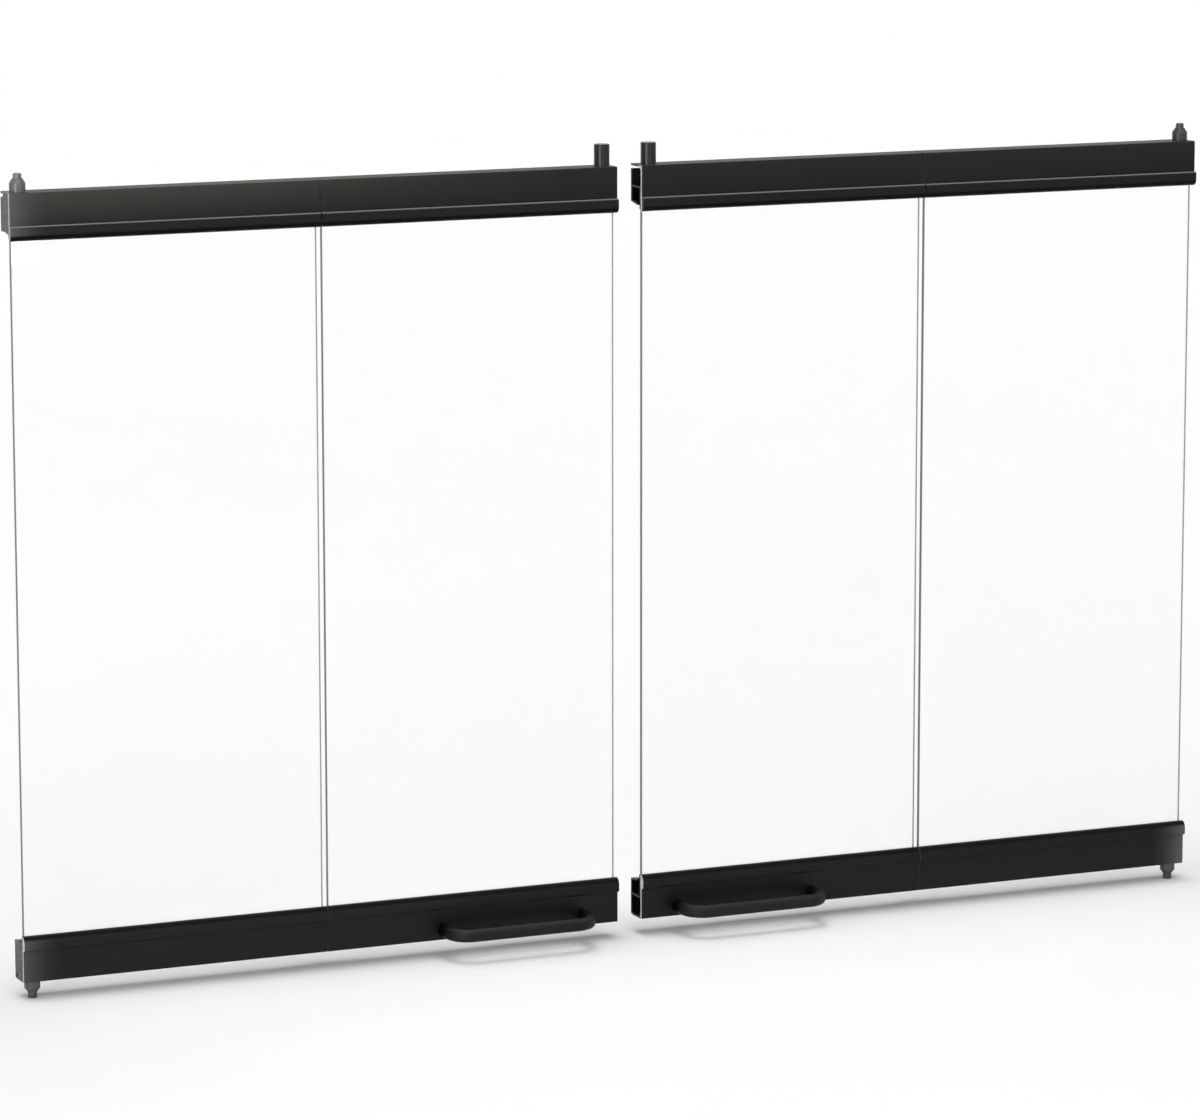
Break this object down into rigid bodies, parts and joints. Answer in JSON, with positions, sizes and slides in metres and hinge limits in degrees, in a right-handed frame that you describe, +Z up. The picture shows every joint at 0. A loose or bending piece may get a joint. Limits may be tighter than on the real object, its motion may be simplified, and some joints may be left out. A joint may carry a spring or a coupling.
{
  "type": "fireplace glass door",
  "caption": "Bi-fold clear glass fireplace doors in black aluminium top and bottom rails, with stepped end pivots, top guide rollers and bow handles.",
  "frame": {"origin": "midway between the two bottom pivots, on their axes and level with their tips", "axes": "+X along the doors to the right as seen from the room, +Y into the fireplace, +Z up"},
  "size_m": [0.914, 0.0553, 0.5741],
  "materials": {
    "rail_black": "satin black coating over extruded aluminium",
    "clear_glass": "clear toughened, arrised edges",
    "gasket": "matt, heat resistant",
    "pivot_black": "satin black oxide",
    "pivot_steel": "black oxide, worn",
    "guide_black": "satin black oxide, turned",
    "hinge_black": "satin black, stamped",
    "handle_black": "matt black coating",
    "bright_steel": "zinc plated"
  },
  "bodies": {
    "pivot_pins": {"left_bottom_pivot_pin": "pivot_steel", "right_bottom_pivot_pin": "pivot_steel"},
    "left_outer_panel": {"left_outer_glass": "clear_glass", "left_outer_top_rail": "rail_black", "left_outer_bottom_rail": "rail_black", "left_outer_top_gasket": "gasket", "left_outer_bottom_gasket": "gasket", "left_outer_set_screws": "bright_steel", "left_outer_hinge_screws": "bright_steel", "left_top_pivot_sleeve": "pivot_black", "left_top_pivot_spring": "bright_steel", "left_bottom_pivot_sleeve": "pivot_black", "left_top_hinge_outer_leaf": "hinge_black", "left_bottom_hinge_outer_leaf": "hinge_black", "left_top_hinge_pin": "bright_steel", "left_bottom_hinge_pin": "bright_steel"},
    "left_inner_panel": {"left_inner_glass": "clear_glass", "left_inner_top_rail": "rail_black", "left_inner_bottom_rail": "rail_black", "left_inner_top_gasket": "gasket", "left_inner_bottom_gasket": "gasket", "left_inner_set_screws": "bright_steel", "left_inner_hinge_screws": "bright_steel", "left_guide_pin": "bright_steel", "left_handle": "handle_black", "left_handle_screws": "bright_steel", "left_top_hinge_inner_leaf": "hinge_black", "left_bottom_hinge_inner_leaf": "hinge_black"},
    "left_top_pin": {"left_top_pivot_pin": "pivot_steel"},
    "left_roller": {"left_guide_roller": "guide_black"},
    "right_outer_panel": {"right_outer_glass": "clear_glass", "right_outer_top_rail": "rail_black", "right_outer_bottom_rail": "rail_black", "right_outer_top_gasket": "gasket", "right_outer_bottom_gasket": "gasket", "right_outer_set_screws": "bright_steel", "right_outer_hinge_screws": "bright_steel", "right_top_pivot_sleeve": "pivot_black", "right_top_pivot_spring": "bright_steel", "right_bottom_pivot_sleeve": "pivot_black", "right_top_hinge_outer_leaf": "hinge_black", "right_bottom_hinge_outer_leaf": "hinge_black", "right_top_hinge_pin": "bright_steel", "right_bottom_hinge_pin": "bright_steel"},
    "right_inner_panel": {"right_inner_glass": "clear_glass", "right_inner_top_rail": "rail_black", "right_inner_bottom_rail": "rail_black", "right_inner_top_gasket": "gasket", "right_inner_bottom_gasket": "gasket", "right_inner_set_screws": "bright_steel", "right_inner_hinge_screws": "bright_steel", "right_guide_pin": "bright_steel", "right_handle": "handle_black", "right_handle_screws": "bright_steel", "right_top_hinge_inner_leaf": "hinge_black", "right_bottom_hinge_inner_leaf": "hinge_black"},
    "right_top_pin": {"right_top_pivot_pin": "pivot_steel"},
    "right_roller": {"right_guide_roller": "guide_black"}
  },
  "joints": [
    {"name": "left_swing", "type": "hinge", "parent": "pivot_pins", "child": "left_outer_panel", "pos_m": [-0.4485, 0, 0], "axis": [0, 0, -1], "range_deg": [0, 85]},
    {"name": "left_fold", "type": "hinge", "parent": "left_outer_panel", "child": "left_inner_panel", "pos_m": [-0.23325, 0.0143, 0], "axis": [0, 0, 1], "range_deg": [0, 170]},
    {"name": "left_top_pin_press", "type": "slide", "parent": "left_outer_panel", "child": "left_top_pin", "axis": [0, 0, -1], "range_m": [0, 0.0033], "stiffness_N_per_m": 600, "springref_m": -0.005, "deforming": ["left_top_pivot_spring"]},
    {"name": "left_roller_turn", "type": "hinge", "parent": "left_inner_panel", "child": "left_roller", "pos_m": [-0.018, 0, 0.5585], "axis": [0, 0, 1], "continuous": true},
    {"name": "right_swing", "type": "hinge", "parent": "pivot_pins", "child": "right_outer_panel", "pos_m": [0.4485, 0, 0], "axis": [0, 0, 1], "range_deg": [0, 85]},
    {"name": "right_fold", "type": "hinge", "parent": "right_outer_panel", "child": "right_inner_panel", "pos_m": [0.23325, 0.0143, 0], "axis": [0, 0, -1], "range_deg": [0, 170]},
    {"name": "right_top_pin_press", "type": "slide", "parent": "right_outer_panel", "child": "right_top_pin", "axis": [0, 0, -1], "range_m": [0, 0.0033], "stiffness_N_per_m": 600, "springref_m": -0.005, "deforming": ["right_top_pivot_spring"]},
    {"name": "right_roller_turn", "type": "hinge", "parent": "right_inner_panel", "child": "right_roller", "pos_m": [0.018, 0, 0.5585], "axis": [0, 0, 1], "continuous": true}
  ],
  "couplings": [
    {"joint": "left_fold", "follows": "left_swing", "ratio": 2},
    {"joint": "right_fold", "follows": "right_swing", "ratio": 2}
  ]
}
